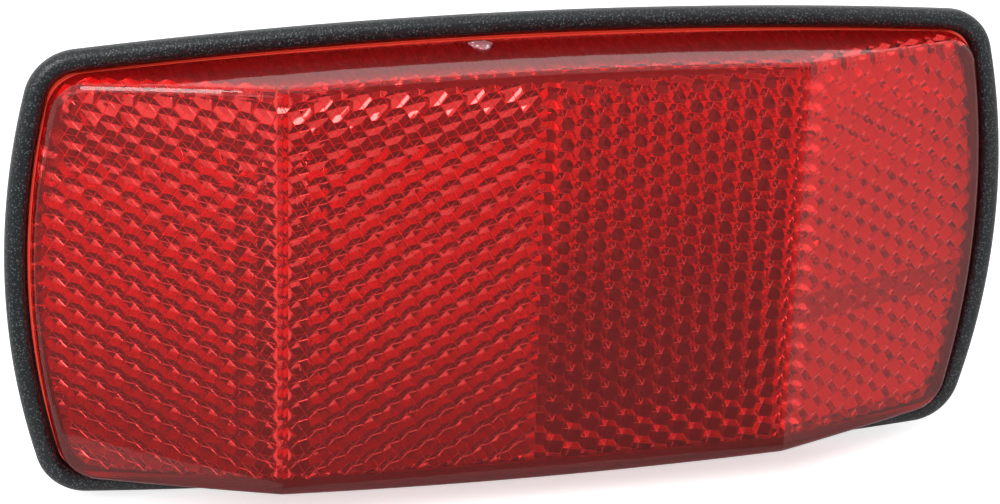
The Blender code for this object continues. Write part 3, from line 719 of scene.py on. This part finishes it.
def make_lens():
    """The outside, less what is behind the prisms and inside the fluted skirt.

    Each zone of prisms is kept to the hollow, then cut out of the lens on its own. The prisms and
    the outside are polished, the skirt's inside is matt, and the flange has its own finish.
    """
    lens = lens_outside()
    wing = (FIELD_HALF_WIDTH - CREASE) / math.cos(WING_ANGLE) + PRISM_PITCH
    lap = FIT / 10
    zones = [
        prism_block("inner_left", -CREASE - lap, lap, True, 0.0, 0.0),
        prism_block("inner_right", -lap, CREASE + lap, False, 0.0, 0.0),
        prism_block("outer_left", -wing, lap, False, WING_ANGLE, -CREASE),
        prism_block("outer_right", -lap, wing, True, -WING_ANGLE, CREASE),
    ]
    add_reds(lens)
    for zone in zones:
        hollow = fluted_hollow()
        for face in hollow.data.polygons:
            face.material_index = MATT_SLOT
        add_reds(zone)
        add_reds(hollow)
        combine(zone, [hollow], "INTERSECT")
        weld(zone)
        combine(lens, [zone], "DIFFERENCE")
        weld(lens)
    return lens


def red_plastic(name, colour, clearness, roughness):
    """Red acrylic with slightly uneven surfaces; what isn't clear in it scatters light."""
    material, shader, tree = new_material(name, colour, roughness)
    shader.inputs["Transmission Weight"].default_value = clearness
    shader.inputs["IOR"].default_value = ACRYLIC_IOR
    place = tree.nodes.new("ShaderNodeTexCoord")
    waves = tree.nodes.new("ShaderNodeTexNoise")
    waves.inputs["Scale"].default_value = WAVINESS_SCALE
    waves.inputs["Detail"].default_value = 1.0
    wavy = tree.nodes.new("ShaderNodeBump")
    wavy.inputs["Distance"].default_value = WAVINESS * MM
    tree.links.new(place.outputs["Object"], waves.inputs["Vector"])
    tree.links.new(waves.outputs["Fac"], wavy.inputs["Height"])
    tree.links.new(wavy.outputs["Normal"], shader.inputs["Normal"])
    return material


red_acrylic = red_plastic("red_acrylic", (1.0, 0.06, 0.056), clearness=0.95, roughness=0.0)
matt_red = red_plastic("matt_red", (1.0, 0.03, 0.045), clearness=0.8, roughness=0.35)
flange_red = red_plastic("flange_red", (1.0, 0.07, 0.035), clearness=0.2, roughness=0.2)
lens = make_lens()
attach(lens, "root")
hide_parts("lens")

# Gate mark
# A low blob on top of the skirt, where the lens was cut from its sprue. It is the same acrylic,
# torn and frosted by the cut.
GATE_X, GATE_DEPTH, GATE_TOP = -5.4, -10.2, 22.95
GATE_HALF_WIDTH, GATE_HALF_DEPTH, GATE_STEPS = 1.15, 1.3, 28
GATE_PROFILE = ((1.0, 0.3), (1.0, 0.14), (0.8, 0.05), (0.45, 0.0), (0.1, 0.02))
turn = np.linspace(0.0, 2 * math.pi, GATE_STEPS, endpoint=False)
uneven = 1.0 + 0.12 * np.sin(3 * turn) + 0.08 * np.sin(7 * turn + 1.0)
rows = [np.stack([GATE_X + GATE_HALF_WIDTH * reach * uneven * np.cos(turn),
                  GATE_DEPTH + GATE_HALF_DEPTH * reach * uneven * np.sin(turn),
                  GATE_TOP - drop + 0 * turn], -1) for reach, drop in GATE_PROFILE]
gate_mark = solid("gate_mark", *skin(rows, [list(range(len(turn)))]))
gate_mark.data.shade_smooth()
frosted, shader, tree = new_material("frosted_red", (0.75, 0.45, 0.47), 0.5)
detail = surface_detail(tree, shader, grain_size=2600.0, grain_depth=1.0, dust_size=1800.0)
vary(tree, detail.outputs["Dust"], shader.inputs["Base Color"], (0.42, 0.14, 0.16), (0.95, 0.85, 0.85))
gate_mark.data.materials.append(frosted)
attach(gate_mark, "root")

# Studio
# A pale floor under the reflector, even soft light from all round, one soft lamp up and to the
# left, and a camera 0.28 m away. The prisms send back two cards, one behind the camera and one
# in front of it, and the polished front and skirt mirror the mat and the screen.
YAW, PITCH, ROLL = math.radians(15.11), math.radians(21.573), math.radians(1.838)
CAMERA_AWAY, FOCAL_PIXELS, PICTURE_WIDTH, SENSOR_WIDTH = 277.06, 2778.7, 1000, 36.0
AIM = (-4.858, LENS_FRONT, 3.533)

ahead = (math.sin(YAW) * math.cos(PITCH), math.cos(YAW) * math.cos(PITCH), -math.sin(PITCH))
forward = Vector(ahead)
level = Vector((math.cos(YAW), -math.sin(YAW), 0.0))
upright = level.cross(forward)
right = math.cos(ROLL) * level + math.sin(ROLL) * upright
up = math.cos(ROLL) * upright - math.sin(ROLL) * level
eye = (Vector(AIM) - forward * CAMERA_AWAY) * MM
camera_data = bpy.data.cameras.new("camera")
camera_data.sensor_width = SENSOR_WIDTH
camera_data.lens = FOCAL_PIXELS / PICTURE_WIDTH * SENSOR_WIDTH
camera_data.clip_start = 0.01
camera = bpy.data.objects.new("camera", camera_data)
bpy.context.scene.collection.objects.link(camera)
camera.matrix_world = Matrix.Translation(eye) @ Matrix((right, up, -forward)).transposed().to_4x4()
bpy.context.scene.camera = camera
bpy.context.scene.view_settings.view_transform = "Standard"

CARD_HALF = 35.0
MAT_LEVEL, SCREEN_LEVEL, MIRRORED_TONE = -25.2, -25.0, 0.3


def paper_card(name, corners, tone):
    """A flat matt card between four corners in mm, which the camera itself doesn't see."""
    card = solid(name, corners, [(0, 1, 2, 3)])
    paper = new_material(name + "_paper", (tone, tone, tone), 0.9)[0]
    card.data.materials.append(paper)
    card.visible_camera = False
    return card


for name, away, tone, top in (("grey_card", 12.0, 0.95, 1.0), ("dark_card", -90.0, 0.02, 0.18)):
    corners = [eye / MM - forward * away + right * a * CARD_HALF + up * b * CARD_HALF
               for a, b in ((-1, -1), (1, -1), (1, top), (-1, top))]
    paper_card(name, corners, tone)

mirrored = {
    "dark_mat": [(-190, -230, MAT_LEVEL), (118, -230, MAT_LEVEL),
                 (37, -27, MAT_LEVEL), (-190, -27, MAT_LEVEL)],
    "dark_screen": [(-600, -600, SCREEN_LEVEL), (600, -600, SCREEN_LEVEL),
                    (600, -600, 330.0), (-600, -600, 330.0)],
}
for name, corners in mirrored.items():
    card = paper_card(name, corners, MIRRORED_TONE)
    card.visible_diffuse = False
    card.visible_transmission = False
    card.visible_shadow = False

# The lamp's size and place are in metres.
LAMP_SIZE, LAMP_WATTS, LAMP_PLACE = 0.4, 4.2, (-0.35, -0.5, 0.45)
lamp_data = bpy.data.lights.new("key_lamp", "AREA")
lamp_data.size = LAMP_SIZE
lamp_data.energy = LAMP_WATTS
lamp = bpy.data.objects.new("key_lamp", lamp_data)
bpy.context.scene.collection.objects.link(lamp)
lamp.matrix_world = Vector(LAMP_PLACE).to_track_quat("Z", "Y").to_matrix().to_4x4()
lamp.location = LAMP_PLACE

LIGHT_LEVEL, SEEN_LEVEL = 0.7, 1.0
world = bpy.data.worlds.new("studio")
bpy.context.scene.world = world
world.use_nodes = True
tree = world.node_tree
background = tree.nodes["Background"]
background.inputs["Color"].default_value = (1.0, 1.0, 1.0, 1.0)
path = tree.nodes.new("ShaderNodeLightPath")
seen = mask_math(tree, "MAXIMUM", path.outputs["Is Camera Ray"], path.outputs["Is Glossy Ray"])
seen = mask_math(tree, "MAXIMUM", seen, path.outputs["Is Transmission Ray"])
tree.links.new(fade(tree, seen, 0.0, 1.0, LIGHT_LEVEL, SEEN_LEVEL), background.inputs["Strength"])

FLOOR_HALF, FLOOR_GLOW = 1500.0, 0.62
corners = [(-FLOOR_HALF, -FLOOR_HALF, -HALF_HEIGHT), (FLOOR_HALF, -FLOOR_HALF, -HALF_HEIGHT),
           (FLOOR_HALF, FLOOR_HALF, -HALF_HEIGHT), (-FLOOR_HALF, FLOOR_HALF, -HALF_HEIGHT)]
floor = solid("floor", corners, [(0, 1, 2, 3)])
pale, shader, tree = new_material("pale_floor", (0.8, 0.8, 0.8), 0.7)
path = tree.nodes.new("ShaderNodeLightPath")
glow = tree.nodes.new("ShaderNodeEmission")
glow.inputs["Strength"].default_value = FLOOR_GLOW
both = tree.nodes.new("ShaderNodeAddShader")
choose = tree.nodes.new("ShaderNodeMixShader")
output = tree.nodes["Material Output"]
tree.links.new(shader.outputs["BSDF"], both.inputs[0])
tree.links.new(glow.outputs["Emission"], both.inputs[1])
tree.links.new(path.outputs["Is Camera Ray"], choose.inputs["Fac"])
tree.links.new(shader.outputs["BSDF"], choose.inputs[1])
tree.links.new(both.outputs["Shader"], choose.inputs[2])
tree.links.new(choose.outputs["Shader"], output.inputs["Surface"])
floor.data.materials.append(pale)
